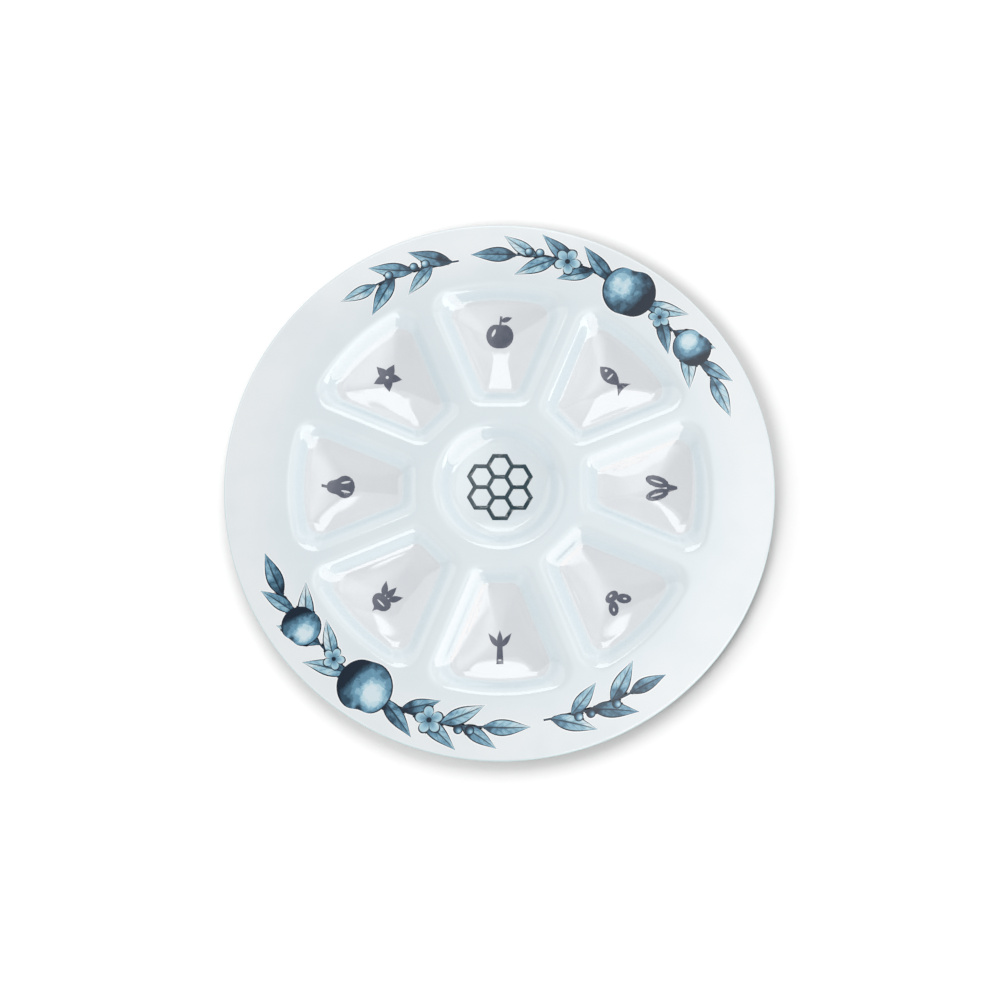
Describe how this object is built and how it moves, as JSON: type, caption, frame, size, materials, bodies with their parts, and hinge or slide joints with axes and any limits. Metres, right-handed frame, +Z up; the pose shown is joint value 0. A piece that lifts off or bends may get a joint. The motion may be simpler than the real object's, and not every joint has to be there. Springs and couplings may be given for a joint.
{
  "type": "rosh hashanah plate",
  "caption": "Round bent-glass festival plate with wedge-shaped food pockets round a centre well, a flat rim and printed decoration on its face.",
  "frame": {"origin": "on the table under the plate's centre, the middle of the bottom of its box", "axes": "+Z up, square to the plate; +Y towards the pocket at twelve o'clock"},
  "size_m": [0.35, 0.35, 0.0129],
  "materials": {
    "opal_glass": "glossy bent glass with a milky white back",
    "field_enamel": "glossy fired enamel",
    "sign_enamel": "glossy fired enamel",
    "emblem_enamel": "glossy fired enamel",
    "garland_enamel": "glossy fired enamel"
  },
  "bodies": {
    "root": {"glass_plate": "opal_glass", "field_print_1": "field_enamel", "field_print_2": "field_enamel", "field_print_3": "field_enamel", "field_print_4": "field_enamel", "field_print_5": "field_enamel", "field_print_6": "field_enamel", "field_print_7": "field_enamel", "field_print_8": "field_enamel", "sign_dates": "sign_enamel", "sign_fish": "sign_enamel", "sign_apple": "sign_enamel", "sign_seeds": "sign_enamel", "sign_gourd": "sign_enamel", "sign_beet": "sign_enamel", "sign_leek": "sign_enamel", "sign_beans": "sign_enamel", "honeycomb_emblem": "emblem_enamel", "garland_upper_right": "garland_enamel", "garland_lower_left": "garland_enamel", "sprig_upper_left": "garland_enamel", "sprig_lower_right": "garland_enamel"}
  },
  "joints": []
}
